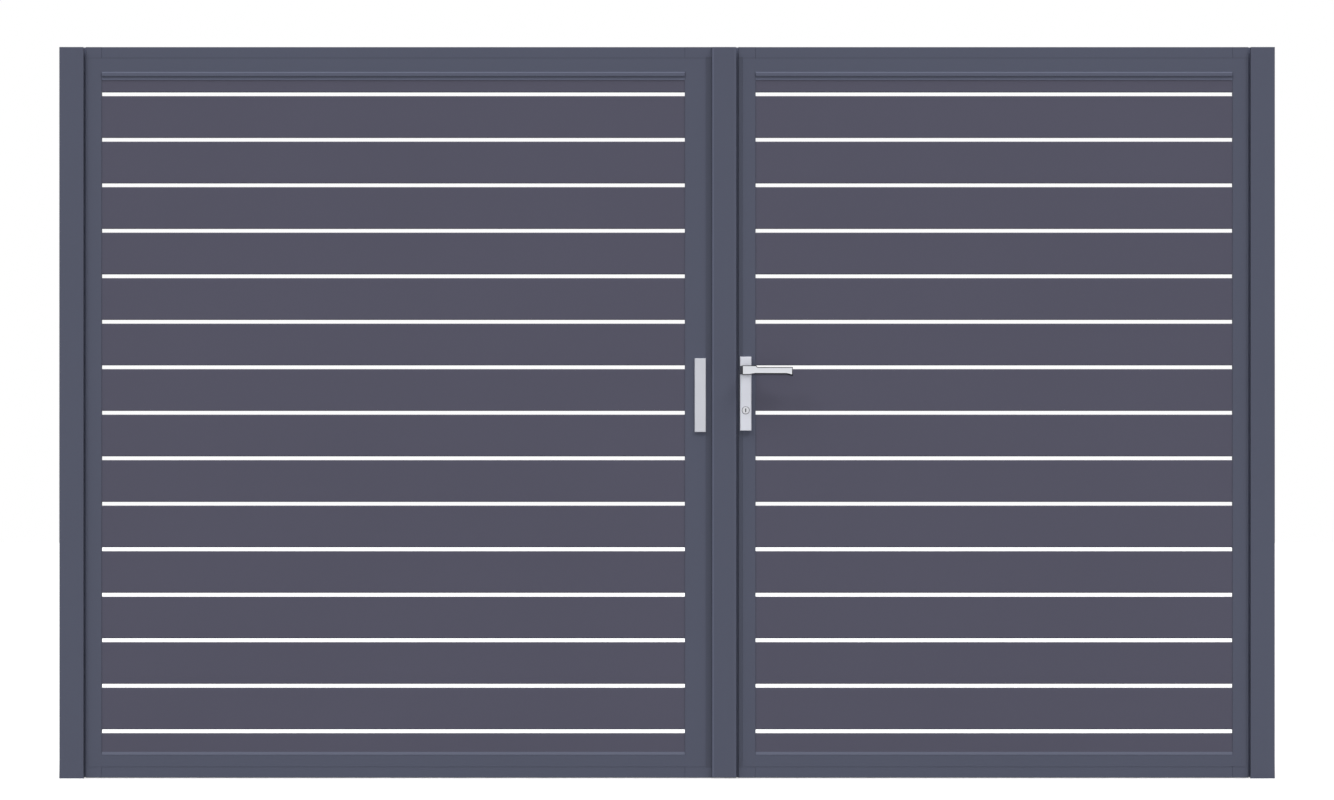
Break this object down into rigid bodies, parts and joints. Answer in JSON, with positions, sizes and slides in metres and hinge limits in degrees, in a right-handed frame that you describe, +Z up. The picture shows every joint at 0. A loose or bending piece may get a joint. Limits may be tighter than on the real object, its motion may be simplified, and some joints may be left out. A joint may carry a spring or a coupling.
{
  "type": "double garden gate",
  "caption": "Uneven double garden gate of anthracite aluminium slats, with hollow posts, a meeting strip, a lever handle and leaves that open to the back",
  "frame": {"origin": "centre of the left post's foot, on the ground", "axes": "+X along the gate to the right post, +Y to the back, where the leaves open, +Z up"},
  "size_m": [2.991, 0.1526, 1.8],
  "materials": {
    "anthracite_frame": "satin",
    "anthracite_slats": "satin",
    "anthracite_fittings": "satin",
    "anthracite_plastic": "matte",
    "black_plastic": "matte",
    "stainless": "satin",
    "satin_silver": "satin",
    "nickel_cylinder": "polished"
  },
  "bodies": {
    "posts": {"left_post": "anthracite_frame", "right_post": "anthracite_frame", "post_caps": "anthracite_plastic", "left_post_hinges": "anthracite_fittings", "right_post_hinges": "anthracite_fittings", "hinge_pins": "stainless"},
    "left_leaf": {"left_leaf_top_rail": "anthracite_frame", "left_leaf_bottom_rail": "anthracite_frame", "left_leaf_hinge_stile": "anthracite_frame", "left_leaf_meeting_stile": "anthracite_frame", "left_leaf_stile_caps": "anthracite_plastic", "left_leaf_slats": "anthracite_slats", "left_leaf_filler_slats": "anthracite_slats", "left_leaf_slat_spacers": "black_plastic", "left_leaf_top_beads": "anthracite_frame", "left_leaf_bottom_beads": "anthracite_frame", "left_leaf_gap_cover": "anthracite_frame", "left_leaf_hinges": "anthracite_fittings", "meeting_strip": "anthracite_frame", "meeting_strip_caps": "anthracite_plastic", "keeper_plate": "stainless", "blank_plate": "satin_silver", "drop_bolt": "stainless", "drop_bolt_guides": "anthracite_fittings"},
    "right_leaf": {"right_leaf_top_rail": "anthracite_frame", "right_leaf_bottom_rail": "anthracite_frame", "right_leaf_hinge_stile": "anthracite_frame", "right_leaf_lock_stile": "anthracite_frame", "right_leaf_stile_caps": "anthracite_plastic", "right_leaf_slats": "anthracite_slats", "right_leaf_filler_slats": "anthracite_slats", "right_leaf_slat_spacers": "black_plastic", "right_leaf_top_beads": "anthracite_frame", "right_leaf_bottom_beads": "anthracite_frame", "right_leaf_gap_cover": "anthracite_frame", "right_leaf_hinges": "anthracite_fittings", "right_leaf_stop_bar": "anthracite_frame", "lock_forend": "stainless", "lock_cylinder": "nickel_cylinder", "front_handle_plate": "satin_silver", "rear_handle_plate": "satin_silver", "lever_bearings": "satin_silver"},
    "handle": {"front_lever": "satin_silver", "rear_lever": "satin_silver", "handle_spindle": "stainless"}
  },
  "joints": [
    {"name": "left_leaf_swing", "type": "hinge", "parent": "posts", "child": "left_leaf", "pos_m": [0.004, 0.036, 0.9], "axis": [0, 0, 1], "range_deg": [0, 110]},
    {"name": "right_leaf_swing", "type": "hinge", "parent": "posts", "child": "right_leaf", "pos_m": [2.927, 0.036, 0.9], "axis": [0, 0, -1], "range_deg": [0, 110]},
    {"name": "handle_turn", "type": "hinge", "parent": "right_leaf", "child": "handle", "pos_m": [1.659, 0.0117, 1.005], "axis": [0, 1, 0], "range_deg": [0, 40], "stiffness_Nm_per_rad": 1.2, "springref_deg": -20.05}
  ]
}
